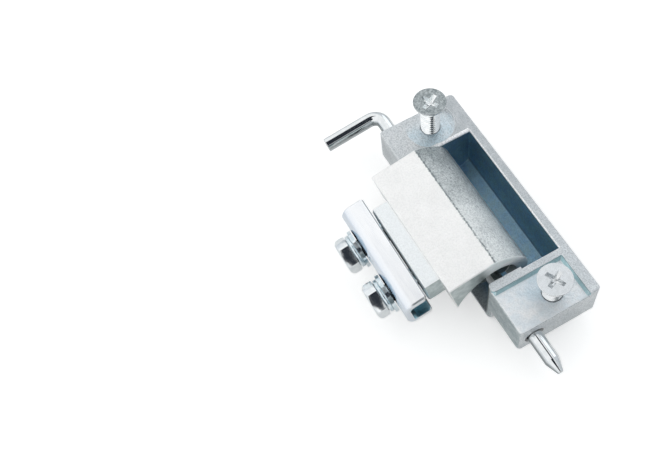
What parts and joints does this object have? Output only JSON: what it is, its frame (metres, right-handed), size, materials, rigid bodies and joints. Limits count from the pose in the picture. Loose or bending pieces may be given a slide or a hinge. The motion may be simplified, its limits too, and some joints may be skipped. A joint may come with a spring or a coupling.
{
  "type": "lift-off hinge",
  "caption": "Concealed lift-off cabinet hinge with a die-cast housing, a gooseneck arm that clamps a sheet edge, and a removable L-shaped pin.",
  "frame": {"origin": "on the housing's mounting face, in the middle of its long rim", "axes": "+X along the pin from its handle to its tip, +Y from the arm's side of the housing to its far side, +Z out of the housing's mouth"},
  "size_m": [0.1025, 0.0566, 0.0303],
  "materials": {
    "housing_casting": "zinc die-casting, fine grain, satin",
    "arm_casting": "zinc die-casting, fine grain, satin",
    "pin_rod": "bright zinc-plated steel",
    "screws": "zinc-plated steel",
    "channel_strip": "bright zinc-plated steel strip",
    "bolts": "zinc-plated steel",
    "washers": "zinc-plated steel"
  },
  "bodies": {
    "housing": {"housing": "housing_casting", "screw_upper": "screws", "screw_lower": "screws"},
    "arm": {"arm": "arm_casting", "channel": "channel_strip", "bolt_1": "bolts", "bolt_2": "bolts", "flat_washer_1": "washers", "flat_washer_2": "washers", "spring_washer_1": "washers", "spring_washer_2": "washers"},
    "pin": {"pin": "pin_rod"}
  },
  "joints": [
    {"name": "arm_swing", "type": "hinge", "parent": "housing", "child": "arm", "pos_m": [0, -0.0195, -0.0071], "axis": [-1, 0, 0], "range_deg": [-44, 130]},
    {"name": "pin_pull", "type": "slide", "parent": "housing", "child": "pin", "axis": [-1, 0, 0], "range_m": [0, 0.092]}
  ]
}
